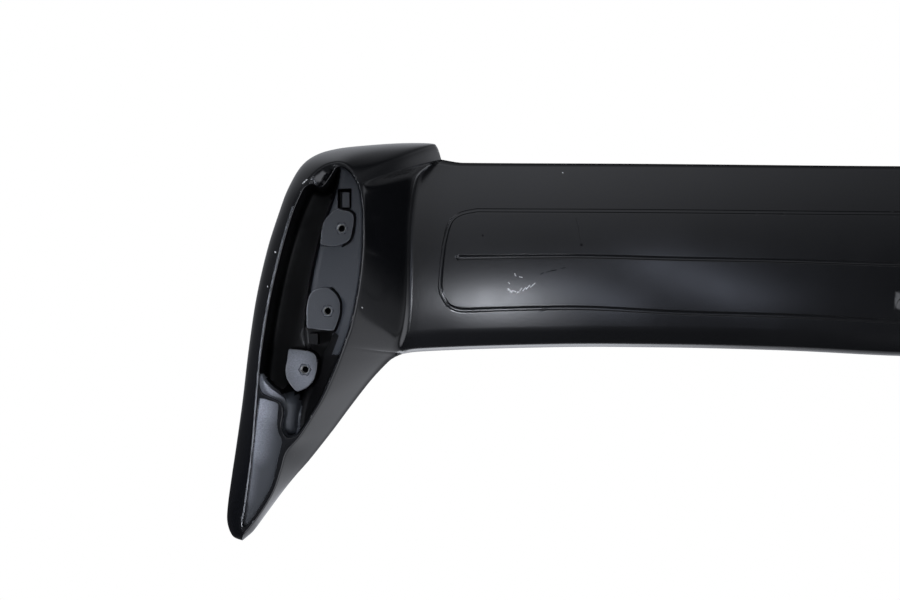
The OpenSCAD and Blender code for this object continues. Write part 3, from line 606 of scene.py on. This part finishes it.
def under_patch():
    """The wing's underside between fold and middle, with the panel's lines and the middle recess."""
    panel, middle = panel_lines()
    half = (CENTRE_LENGTH - CENTRE_WIDTH) / 2
    recess = np.array([[-30, CENTRE_Y], [half, CENTRE_Y]])
    rows = [rings_along(panel, groove_rows(PANEL_WIDTH), 2.5, False),
            rings_along(middle, GROOVE_SIDE, 2.5)]
    turns = np.linspace(0, np.pi, 24)
    straight = np.arange(-3, half, 3.0)
    for r in (CENTRE_WIDTH / 2 + o for o in RECESS_SIDE):
        rows.append(np.stack([half + r * np.sin(turns), CENTRE_Y - r * np.cos(turns)], -1))
        rows += [np.stack([straight, np.full_like(straight, CENTRE_Y + k * r)], -1) for k in (-1, 1)]
    rows = np.concatenate(rows)
    rows = rows[rows[:, 0] > 0.6]
    s, t = wing_share(rows[:, 0], rows[:, 1])
    scale = np.array([PLAN_LENGTH, PLAN_DEPTH])
    rings = np.stack([s, t], -1) * scale
    shares = cosine_shares(FOLD_COLUMNS)

    def centre_row(line):
        return line[np.argmin(np.abs(line[:, 0]))][1]

    panel_sides, middle_sides = ((line[:LINE_STEPS], line[-LINE_STEPS:]) for line in (panel, middle))
    centre_y = np.unique(np.round(np.concatenate([
        [CENTRE_Y + k * (CENTRE_WIDTH / 2 + o) for k in (-1, 1) for o in RECESS_SIDE],
        [centre_row(line) + o for line in panel_sides for o in groove_rows(PANEL_WIDTH)],
        [centre_row(line) + k * o for line, k in zip(middle_sides, (-1, 1)) for o in GROOVE_SIDE],
    ]), 3))
    centre_t = (centre_y - tail_y(1.0)) / (nose_y(1.0) - tail_y(1.0))
    plain = cosine_shares(PLAIN_ROWS)
    far = np.min(np.abs(plain[:, None] - centre_t[None]), 1) * PLAN_DEPTH > 1.5
    centre_t = np.sort(np.concatenate([centre_t, plain[far & (plain > 0) & (plain < 1)]]))
    edge = np.concatenate([
        np.stack([stations, np.zeros_like(stations)], -1),
        np.stack([np.ones_like(centre_t), centre_t], -1),
        np.stack([stations[::-1], np.ones_like(stations)], -1),
        np.stack([np.zeros(FOLD_COLUMNS - 1), shares[1:-1][::-1]], -1),
    ]) * scale
    plain = np.array([[a, b] for a in stations[1:-1] for b in plain[1:-1]]) * scale
    rings = rings[np.all((rings > [0.3, 0.2]) & (rings < scale - [0.4, 0.2]), 1)]
    rings = thin_out(rings, list(edge), 0.25)
    plain = thin_out(plain, list(rings) + list(edge), 1.2)
    verts, faces = weave(edge, np.concatenate([rings, plain]))
    st = verts / scale
    out = wing_point(st[:, 0], st[:, 1], -1)
    inner = (st[:, 1] > 1e-6) & (st[:, 1] < 1 - 1e-6) & (st[:, 0] > 1e-6)
    p = out[:, :2]
    groove = np.interp(distance_to(panel, p, False) - PANEL_WIDTH / 2, GROOVE_STEPS, GROOVE_DEPTHS)
    line = np.interp(distance_to(middle, p), GROOVE_STEPS, GROOVE_DEPTHS)
    roof = EDGE_HEIGHT - 0.76 * NOSE_DROP - THICKNESS / 2 + CENTRE_DEPTH
    reach = distance_to(recess, p, False) - CENTRE_WIDTH / 2
    z = out[:, 2] + np.maximum(groove, line) * inner
    out[:, 2] = mix(np.maximum(z, roof), z, ease((reach + 1.2) / 1.6))
    return out, faces


def grid_faces(rows, columns, closed=False):
    faces = []
    for i in range(rows - 1):
        for k in range(columns if closed else columns - 1):
            m = (k + 1) % columns
            faces.append([i * columns + k, i * columns + m, (i + 1) * columns + m, (i + 1) * columns + k])
    return faces


def put(name, data):
    """A new object in the scene."""
    item = bpy.data.objects.new(name, data)
    bpy.context.scene.collection.objects.link(item)
    return item


def moulded_body():
    """The whole moulding: wall, leg top, wing over and under and foot, mirrored to the other half."""
    wall = wall_points()
    top = leg_top_points()
    over = wing_point(stations[:, None], cosine_shares(TOP_COLUMNS)[None], 1)
    under, under_faces = under_patch()
    foot, foot_faces = foot_patch()
    patches = [
        (wall.reshape(-1, 3), grid_faces(wall.shape[0], wall.shape[1], True)),
        (top.reshape(-1, 3), grid_faces(top.shape[0], top.shape[1])),
        (over.reshape(-1, 3), grid_faces(over.shape[0], over.shape[1])),
        (under, under_faces),
        (foot, foot_faces),
    ]
    verts, faces = [], []
    for sign in (1, -1):
        for points, patch in patches:
            start = sum(len(v) for v in verts)
            verts.append(np.clip(points * np.array([sign, 1, 1]) / 1000, cad_low, cad_high))
            faces += [[start + i for i in f] for f in patch]
    mesh = bpy.data.meshes.new("moulded_body")
    mesh.from_pydata(np.concatenate(verts).tolist(), [], faces)
    piece = put("moulded_body", mesh)
    bm = bmesh.new()
    bm.from_mesh(mesh)
    bmesh.ops.remove_doubles(bm, verts=bm.verts, dist=2e-6)
    bmesh.ops.dissolve_degenerate(bm, edges=bm.edges, dist=1e-6)
    loose = [v for v in bm.verts if not v.link_faces]
    bmesh.ops.delete(bm, geom=loose, context="VERTS")
    bmesh.ops.recalc_face_normals(bm, faces=bm.faces)
    bm.to_mesh(mesh)
    bm.free()
    return piece


def linear(hex_code):
    """An sRGB hex colour as linear numbers."""
    parts = [int(hex_code[i:i + 2], 16) / 255 for i in (1, 3, 5)]
    return [c / 12.92 if c <= 0.04045 else ((c + 0.055) / 1.055) ** 2.4 for c in parts] + [1.0]


def add(tree, kind, settings=None, **links):
    """Adds a node with its settings; links name sockets, with a value or another node's output."""
    n = tree.nodes.new(kind)
    for key, value in (settings or {}).items():
        setattr(n, key, value)
    for key, value in links.items():
        numbered = key[0] == "i" and key[1:].isdigit()
        socket = n.inputs[int(key[1:]) if numbered else key.replace("_", " ")]
        if isinstance(value, bpy.types.NodeSocket):
            tree.links.new(value, socket)
        else:
            socket.default_value = value
    return n


def new_material(name):
    m = bpy.data.materials.new(name)
    m.use_nodes = True
    m.node_tree.nodes.clear()
    return m, m.node_tree


def ramp(tree, fac, stops):
    n = add(tree, "ShaderNodeValToRGB", i0=fac)
    elements = n.color_ramp.elements
    while len(elements) < len(stops):
        elements.new(0.5)
    for e, (at, value) in zip(elements, stops):
        e.position = at
        e.color = value if isinstance(value, (list, tuple)) else (value, value, value, 1)
    return n.outputs[0]


def calc(tree, operation, a, b=0.0, clamp=False):
    return add(tree, "ShaderNodeMath", {"operation": operation, "use_clamp": clamp}, i0=a, i1=b).outputs[0]


def vector(tree, operation, output="Vector", **links):
    return add(tree, "ShaderNodeVectorMath", {"operation": operation}, **links).outputs[output]


def fade(tree, value, start, end, low, high):
    """From low to high without a corner, while the value goes from start to end."""
    return add(tree, "ShaderNodeMapRange", {"interpolation_type": "SMOOTHSTEP"}, Value=value,
               From_Min=start, From_Max=end, To_Min=low, To_Max=high).outputs[0]


def noise(tree, place, scale, detail, roughness=0.5):
    return add(tree, "ShaderNodeTexNoise", Vector=place, Scale=scale, Detail=detail, Roughness=roughness)


def principled(tree, colour, roughness, **links):
    return add(tree, "ShaderNodeBsdfPrincipled", Base_Color=colour, Roughness=roughness, **links).outputs[0]


def blend(tree, share, first, second):
    return add(tree, "ShaderNodeMixShader", i0=share, i1=first, i2=second).outputs[0]


def stroke(tree, place, points, width, core=0.25):
    """A mask along a line through points in millimetres in plan, with a ragged edge where place is ragged."""
    nearest = 99.0
    for (ax, ay), (bx, by) in zip(points, points[1:]):
        run = (bx - ax, by - ay, 0.0)
        here = vector(tree, "SUBTRACT", i0=place, i1=(ax, ay, 0.0))
        along = vector(tree, "DOT_PRODUCT", "Value", i0=here, i1=run)
        along = calc(tree, "MULTIPLY", along, 1 / (run[0] ** 2 + run[1] ** 2), True)
        foot = vector(tree, "SCALE", i0=run, Scale=along)
        nearest = calc(tree, "MINIMUM", vector(tree, "DISTANCE", "Value", i0=here, i1=foot), nearest)
    return fade(tree, nearest, width * core, width * 0.7, 1.0, 0.0)


def fold_up(tree, operation, values):
    """One operation over any number of values, from the first to the last."""
    whole = values[0]
    for value in values[1:]:
        whole = calc(tree, operation, whole, value)
    return whole


def strokes(tree, place, marks):
    return fold_up(tree, "MAXIMUM", [stroke(tree, place, points, width) for points, width in marks])


# Marks on the underside, in millimetres in plan: points and width
PALE_MARKS = [
    ([(-418.4, -39.0), (-415.7, -36.6)], 1.5),
    ([(-414.9, -37.6), (-412.1, -36.9)], 1.0),
    ([(-411.1, -36.1), (-409.6, -36.6)], 0.8),
    ([(-408.9, -37.3), (-407.1, -39.8)], 0.7),
    ([(-406.0, -37.8), (-403.7, -40.5)], 0.9),
    ([(-403.3, -39.0), (-400.3, -42.2)], 0.9),
    ([(-399.6, -40.7), (-396.0, -43.9)], 0.9),
    ([(-418.4, -44.6), (-417.5, -43.8)], 0.8),
    ([(-413.0, -52.0), (-412.0, -50.3)], 0.8),
    ([(-408.9, -49.7), (-406.6, -48.8)], 0.45),
    ([(-371.4, -139.1), (-371.0, -139.0)], 0.8),
    ([(-608.8, -68.6), (-608.2, -68.1)], 1.1),
    ([(-614.8, -40.8), (-614.4, -40.2)], 0.7),
    ([(-586.2, -123.4), (-582.6, -126.2)], 1.0),
    ([(-538.8, -23.8), (-538.4, -23.4)], 0.8),
]
DARK_MARKS = [
    ([(-390.6, -51.8), (-388.6, -53.0)], 0.9),
    ([(-385.6, -53.4), (-381.6, -54.8), (-377.2, -55.4)], 0.9),
    ([(-373.4, -56.4), (-370.0, -57.3)], 0.5),
    ([(-360.6, -100.0), (-358.6, -92.0), (-357.0, -80.5)], 0.28),
    ([(-356.6, -77.4), (-355.9, -76.5)], 2.2),
    ([(-440.2, -84.8), (-439.8, -84.6)], 1.5),
]


def satin_black_paint():
    """Satin paint over moulded ABS: faint orange peel, rubbed dull in patches, scuffed and chipped below."""
    m, t = new_material("satin_black_paint_on_abs")
    place = add(t, "ShaderNodeTexCoord").outputs["Object"]
    peel, rubbed = noise(t, place, 420.0, 2.0), noise(t, place, 14.0, 5.0, 0.6)
    rough = ramp(t, rubbed.outputs["Fac"], [(0.3, 0.15), (0.7, 0.2)])
    bump = add(t, "ShaderNodeBump", Strength=0.06, Distance=0.0002, Height=peel.outputs["Fac"])
    shader = principled(t, linear("#0c0d10"), rough, IOR=1.5, Normal=bump.outputs[0])
    flat = vector(t, "MULTIPLY", i0=place, i1=(1000.0, 1000.0, 0.0))
    ragged = noise(t, place, 900.0, 3.0, 0.7)
    shift = vector(t, "MULTIPLY_ADD", i0=ragged.outputs["Color"], i1=(1.6, 1.6, 0.0), i2=(-0.8, -0.8, 0.0))
    torn = vector(t, "ADD", i0=flat, i1=shift)
    normal = add(t, "ShaderNodeNewGeometry").outputs["Normal"]
    below = calc(t, "LESS_THAN", add(t, "ShaderNodeSeparateXYZ", Vector=normal).outputs["Z"], -0.1)
    broken = ramp(t, ragged.outputs["Fac"], [(0.38, 0.25), (0.52, 1.0)])
    faint = ramp(t, ragged.outputs["Fac"], [(0.42, 0.35), (0.56, 0.9)])
    pale = fold_up(t, "MULTIPLY", [strokes(t, torn, PALE_MARKS), below, broken])
    dark = fold_up(t, "MULTIPLY", [strokes(t, torn, DARK_MARKS), below, faint])
    bare = principled(t, linear("#f2f3f5"), 0.7)
    grime = principled(t, linear("#0b0b0e"), 0.8, Specular_IOR_Level=0.1)
    worn = blend(t, dark, blend(t, pale, shader, bare), grime)
    add(t, "ShaderNodeOutputMaterial", Surface=worn)
    return m


# Where the foot's grained faces are painted pale, partly as wear and partly as a painted highlight: line in
# millimetres in plan, width and how strongly
PALE_WEAR_AND_HIGHLIGHT_PLACES = [
    ([(-622.0, 38.0), (-624.0, 58.0)], 36.0, 1.25),
    ([(-625.0, 58.0), (-631.0, 88.0)], 34.0, 1.1),
    ([(-631.0, 88.0), (-637.0, 125.0)], 23.0, 0.7),
    ([(-590.0, 22.0), (-585.0, 34.0)], 30.0, 0.5),
]


def grained_abs():
    """Bare ABS with a spark-eroded grain, about 1 mm, painted pale on the outer half of the leg's foot,
    partly as wear and partly as a painted highlight, strongest at the rear of the tip's flat and weaker
    towards the tip.
    """
    m, t = new_material("grained_black_abs")
    place = add(t, "ShaderNodeTexCoord").outputs["Object"]
    flat = vector(t, "MULTIPLY", i0=place, i1=(1000.0, 1000.0, 0.0))
    grain = noise(t, place, 900.0, 3.0, 0.7)
    bump = add(t, "ShaderNodeBump", Strength=0.5, Distance=0.0004, Height=grain.outputs["Fac"])
    # The pale share: wear and a painted highlight together
    worn = fold_up(t, "MAXIMUM", [calc(t, "MULTIPLY", stroke(t, flat, points, width, 0.0), share)
                                  for points, width, share in PALE_WEAR_AND_HIGHLIGHT_PLACES])
    worn = calc(t, "MULTIPLY", worn, ramp(t, grain.outputs["Fac"], [(0.35, 0.55), (0.65, 1.0)]))
    colour = add(t, "ShaderNodeMix", {"data_type": "RGBA", "clamp_factor": True}, i0=worn,
                 i6=linear("#2c2f34"), i7=linear("#8a8d96"))
    shader = principled(t, colour.outputs[2], 0.5, IOR=1.5, Normal=bump.outputs[0])
    add(t, "ShaderNodeOutputMaterial", Surface=shader)
    return m


def plain_finish(name, scale, detail, stops, roughness=None, **links):
    """A finish with one noise: it varies the colour or, where no roughness is given, the roughness."""
    m, t = new_material(name)
    place = add(t, "ShaderNodeTexCoord").outputs["Object"]
    varied = ramp(t, noise(t, place, scale, detail).outputs["Fac"], stops)
    if roughness is None:
        shader = principled(t, roughness=varied, **links)
    else:
        shader = principled(t, varied, roughness, **links)
    add(t, "ShaderNodeOutputMaterial", Surface=shader)
    return m


# Angles in degrees from which an edge is sharp, and limits in millimetres of the foot and the wing
BODY_SMOOTH_ANGLE, NUT_SMOOTH_ANGLE = 62, 35
FOOT_WIDTH, WING_REACH, WING_LEVEL = 115, 500, 60


def deselect():
    if bpy.context.object and bpy.context.object.mode != "OBJECT":
        bpy.ops.object.mode_set(mode="OBJECT")
    bpy.ops.object.select_all(action="DESELECT")


def pick(piece):
    deselect()
    piece.select_set(True)
    bpy.context.view_layer.objects.active = piece


paint, grain = satin_black_paint(), grained_abs()
# Black ABS, darker and duller than the paint, put as painted shade in the channel, the slots, the deep
# recess, on the tab, in the steps round the pads, in the insert holes and in the engraved lines' sides
bare = plain_finish("dull_black_abs_painted_shade", 60.0, 4.0,
                    [(0.3, 0.4), (0.7, 0.52)], colour=linear("#060607"), IOR=1.26)
# Paint rubbed thin and grey, along the foot's outer edge and on the pads' rims, partly wear and partly a
# painted highlight on those edges
rubbed = plain_finish("paint_rubbed_with_painted_highlight_at_edges", 110.0, 4.0,
                      [(0.35, linear("#303236")), (0.7, linear("#66686c"))], 0.45, IOR=1.5)
# Turned steel with zinc plating, dulled by overspray of the paint, and the thread cut in it
zinc = plain_finish("dull_zinc_plated_steel", 900.0, 3.0,
                    [(0.35, linear("#43464c")), (0.7, linear("#5c6066"))], 0.5, Metallic=0.35)
thread = plain_finish("bright_steel_thread", 1500.0, 3.0,
                      [(0.4, linear("#6c6c6a")), (0.6, linear("#d2d2cf"))], 0.5, Metallic=1.0)

body = moulded_body()
pick(body)
bpy.ops.object.shade_smooth_by_angle(angle=math.radians(BODY_SMOOTH_ANGLE))
for material in (paint, grain, bare, rubbed):
    body.data.materials.append(material)
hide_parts("spoiler_body")
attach(body, "root")

# Each face's finish, by where it is: the foot's underside, the engraved lines' sides facing down in a darker,
# duller black as painted shade, and paint elsewhere
centres = np.array([f.center[:] for f in body.data.polygons]) * 1000
places = np.stack([REACH - np.abs(centres[:, 0]), centres[:, 1]], -1)
foot_line = wall_columns()[0]
under_foot = (centres[:, 2] < POCKET_DEPTH + 1.5) & (places[:, 0] < FOOT_WIDTH)
under_foot[under_foot] = distance_to(foot_line, places[under_foot]) < -0.05
finish = np.zeros(len(centres), np.int32)
finish[under_foot] = foot_surface(places[under_foot], foot_line)[1]
panel, middle = panel_lines()
mirrored = np.stack([np.abs(centres[:, 0]), centres[:, 1]], -1)
on_wing = (mirrored[:, 0] < WING_REACH) & (centres[:, 2] > WING_LEVEL)
near_line = distance_to(panel, mirrored[on_wing], False) - PANEL_WIDTH / 2
near_middle = distance_to(middle, mirrored[on_wing])
in_side = [(near < 0) & (near > GROOVE_STEPS[0]) for near in (near_line, near_middle)]
faces_down = np.array([f.normal.z for f in body.data.polygons])[on_wing] < 0
finish[on_wing] = np.where((in_side[0] | in_side[1]) & faces_down, SHADE_BLACK, PAINTED)
body.data.polygons.foreach_set("material_index", finish)


# The nut's small forms: its lobes' height in millimetres, the rest in metres or as a share
COLLAR_WAVE, RIM_ROUND, COUNTERSINK_EDGE, COUNTERSINK = 0.42, 0.00022, 0.0034, 0.0007
BORE_SHARE, THREAD_TURNS, THREAD_CUT = 0.8, 10, 1.14


def threaded_insert(name, place):
    """A moulded-in nut: a cylinder, its rim drawn in between six lobes, bored and threaded."""
    deselect()
    x, y, z = (c / 1000 for c in place)
    length, radius = INSERT_LENGTH / 1000, COLLAR_RADIUS / 1000
    bpy.ops.mesh.primitive_cylinder_add(
        vertices=COLLAR_STEPS, radius=radius, depth=length, location=(x, y, z + length / 2))
    piece = bpy.context.object
    piece.name = name
    bpy.ops.object.transform_apply(location=True, rotation=True, scale=True)
    bpy.ops.object.mode_set(mode="EDIT")
    bpy.ops.mesh.select_mode(type="VERT")

    def from_axis(p):
        return math.hypot(p.x - x, p.y - y)

    def choose(kind, test):
        bpy.ops.mesh.select_all(action="DESELECT")
        bpy.ops.object.mode_set(mode="OBJECT")
        for item in getattr(piece.data, kind):
            item.select = test(item)
        bpy.ops.object.mode_set(mode="EDIT")

    def resize(factor, level):
        bpy.ops.transform.resize(value=(factor, factor, 1), center_override=(x, y, level))

    def extrude(rise):
        bpy.ops.mesh.extrude_region_move(TRANSFORM_OT_translate={"value": (0, 0, rise)})

    bpy.ops.mesh.select_mode(type="FACE")
    choose("polygons", lambda f: abs(f.normal.z) > 0.9)
    bpy.ops.mesh.inset(thickness=RIM_ROUND, depth=0.0)
    bpy.ops.mesh.inset(thickness=radius - RIM_ROUND - COUNTERSINK_EDGE, depth=0.0)
    bpy.ops.mesh.select_mode(type="VERT")
    for step in range(5):

        def on_step(v):
            turn = math.degrees(math.atan2(v.co.y - y, v.co.x - x)) % 60
            return from_axis(v.co) > COUNTERSINK_EDGE + 0.0003 and abs(min(turn, 60 - turn) - 7.5 * step) < 1

        choose("vertices", on_step)
        resize(1 + COLLAR_WAVE / COLLAR_RADIUS * math.cos(math.pi * step / 4), z)
    bpy.ops.mesh.select_mode(type="FACE")
    for end in (-1, 1):
        choose("polygons", lambda f: f.normal.z * end > 0.9 and from_axis(f.center) < 0.0004)
        extrude(-end * COUNTERSINK)
        resize(BORE_SHARE, z if end < 0 else z + length)
        extrude(-end * 0.0002)
        if end < 0:
            for turn in range(THREAD_TURNS):
                for grow, rise in ((THREAD_CUT, 0.0004), (1, 0.0001), (1 / THREAD_CUT, 0.0004), (1, 0.0001)):
                    extrude(rise)
                    resize(grow, z)
        bpy.ops.mesh.delete(type="ONLY_FACE")
    bpy.ops.mesh.select_all(action="DESELECT")
    bpy.ops.mesh.select_mode(type="EDGE")
    bpy.ops.mesh.select_non_manifold()
    bpy.ops.mesh.bridge_edge_loops()
    bpy.ops.mesh.select_all(action="SELECT")
    bpy.ops.mesh.normals_make_consistent(inside=False)
    bpy.ops.object.mode_set(mode="OBJECT")
    bpy.ops.object.shade_smooth_by_angle(angle=math.radians(NUT_SMOOTH_ANGLE))
    for material in (zinc, thread):
        piece.data.materials.append(material)
    for f in piece.data.polygons:
        f.material_index = 0 if from_axis(f.center) > COUNTERSINK_EDGE else 1
    return piece


for side, sign in (("left", -1), ("right", 1)):
    for pad in PADS:
        node = f"{side}_{pad[0]}_insert"
        nut = threaded_insert(f"{side}_{pad[0]}_nut", (sign * (REACH - pad[2][0]), pad[2][1], pad[1]))
        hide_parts(node)
        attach(nut, "root")

# Camera: straight up at the upside-down side of the part, as the photo was taken
lens = bpy.data.cameras.new("camera")
lens.lens, lens.sensor_width, lens.clip_start = 60, 36, 0.01
camera = put("camera", lens)
camera.location = (-0.468, -0.0298, -1.2)
camera.rotation_euler = (math.pi, 0, 0)
bpy.context.scene.camera = camera


def put_lamp(light, place, target, watts, tint):
    light.color, light.energy = linear(tint)[:3], watts
    lamp = put(light.name, light)
    lamp.location = place
    lamp.rotation_euler = (Vector(target) - Vector(place)).to_track_quat("-Z", "Y").to_euler()
    return lamp


def softbox(name, place, target, size, watts, tint="#ffffff"):
    light = bpy.data.lights.new(name, "AREA")
    light.shape, light.size, light.size_y = "RECTANGLE", size[0], size[1]
    return put_lamp(light, place, target, watts, tint)


softbox("under_wing", (-0.385, -0.22, -1.5), (-0.43, -0.03, 0.08), (0.08, 0.03), 1.15, "#f2f6ff")
softbox("under_wing_near", (-0.22, -0.25, -1.5), (-0.4, -0.03, 0.08), (0.26, 0.08), 0.23, "#dfe8ff")
softbox("under_wing_far", (0.02, -0.33, -1.5), (-0.3, -0.03, 0.08), (0.36, 0.09), 0.3, "#dfe8ff")
softbox("over_left", (-1.2, -1.2, 1.9), (-0.2, 0, 0), (1.2, 1.2), 40).visible_glossy = False
softbox("over_right", (1.4, 1.0, 1.7), (0.2, 0, 0), (1.4, 1.4), 30).visible_glossy = False

# A narrow lamp from the left rakes over the leg's foot
spot = bpy.data.lights.new("under_foot", "SPOT")
spot.spot_size, spot.spot_blend, spot.shadow_soft_size = math.radians(16), 1.0, 0.14
put_lamp(spot, (-1.05, 0.12, -0.62), (-0.62, 0.046, 0), 60, "#f0f4ff")

# The studio seen in the gloss: a table beyond the part, a wall behind, a strip in front, a window at the side
world = bpy.data.worlds.new("studio")
world.use_nodes = True
tree = world.node_tree
tree.nodes.clear()
path = add(tree, "ShaderNodeLightPath")
ways = add(tree, "ShaderNodeSeparateXYZ", Vector=add(tree, "ShaderNodeTexCoord").outputs["Generated"]).outputs
# Each is a strength times its limits: direction axis, where it starts, where it ends, from what, to what
STUDIO = [
    # table
    [("Z", 0.0, 0.3, 0.0, 0.55), ("X", -0.36, 0.2, 0.04, 1.0), ("Y", -0.5, -0.15, 0.22, 1.0)],
    # wall
    [("Y", -0.53, -0.19, 1.15, 0.0), ("X", 0.0, 0.4, 1.0, 0.3), ("Z", -0.7, 0.1, 1.0, 0.15),
     ("Y", -0.95, -0.5, 0.35, 1.0), ("X", -0.55, -0.1, 0.5, 1.0)],
    # strip in front
    [("Z", 0.3, 0.42, 0.0, 1.0), ("Z", 0.4, 0.97, 5.0, 0.5), ("Y", 0.0, 0.12, 0.0, 1.0),
     ("X", -0.035, 0.0, 0.0, 1.0), ("X", 0.08, 0.19, 1.0, 0.0)],
    # window at the side
    [("X", 0.33, 0.42, 0.0, 2.4), ("Z", -0.35, 0.0, 1.0, 0.0), ("Y", -0.12, 0.02, 0.0, 1.0)],
    # the dim room all round, darkest on the left
    [("X", 0.0, 0.3, 0.15, 0.06), ("X", -0.6, -0.2, 0.15, 1.0),
     ("Y", -0.28, -0.02, 1.7, 1.0), ("Y", -0.75, -0.45, 0.22, 1.0)],
]
strengths = [
    fold_up(tree, "MULTIPLY", [fade(tree, ways[axis], *limits) for axis, *limits in parts])
    for parts in STUDIO
]
level = fold_up(tree, "ADD", strengths)
in_gloss = add(tree, "ShaderNodeBackground", Color=linear("#f4f7ff"), Strength=level).outputs[0]
on_matt = add(tree, "ShaderNodeBackground", Color=linear("#e8ecf2"), Strength=0.55).outputs[0]
white = add(tree, "ShaderNodeBackground", Color=(1, 1, 1, 1), Strength=1.0).outputs[0]
both = blend(tree, path.outputs["Is Glossy Ray"], on_matt, in_gloss)
both = blend(tree, path.outputs["Is Camera Ray"], both, white)
add(tree, "ShaderNodeOutputWorld", Surface=both)
bpy.context.scene.world = world

# The floor under the part, clear from below so that the camera sees the part, and glowing white further out
floor_mesh = bpy.data.meshes.new("floor")
corners = [(a * 9, b * 9, -0.001) for a, b in ((-1, -1), (1, -1), (1, 1), (-1, 1))]
floor_mesh.from_pydata(corners, [], [(0, 1, 2, 3)])
floor = put("floor", floor_mesh)
m, tree = new_material("pale_floor")
side = add(tree, "ShaderNodeNewGeometry")
clear = add(tree, "ShaderNodeBsdfTransparent").outputs[0]
matt = add(tree, "ShaderNodeBsdfDiffuse", Color=linear("#f4f4f4")).outputs[0]
glow = add(tree, "ShaderNodeEmission", Color=(1, 1, 1, 1), Strength=1.0).outputs[0]
far = vector(tree, "LENGTH", "Value", i0=add(tree, "ShaderNodeTexCoord").outputs["Object"])
both = blend(tree, fade(tree, far, 0.75, 1.5, 0.0, 1.0), matt, glow)
both = blend(tree, side.outputs["Backfacing"], both, clear)
add(tree, "ShaderNodeOutputMaterial", Surface=both)
floor_mesh.materials.append(m)
floor.visible_glossy = floor.visible_diffuse = floor.visible_shadow = False

bpy.context.scene.view_settings.view_transform = "Standard"
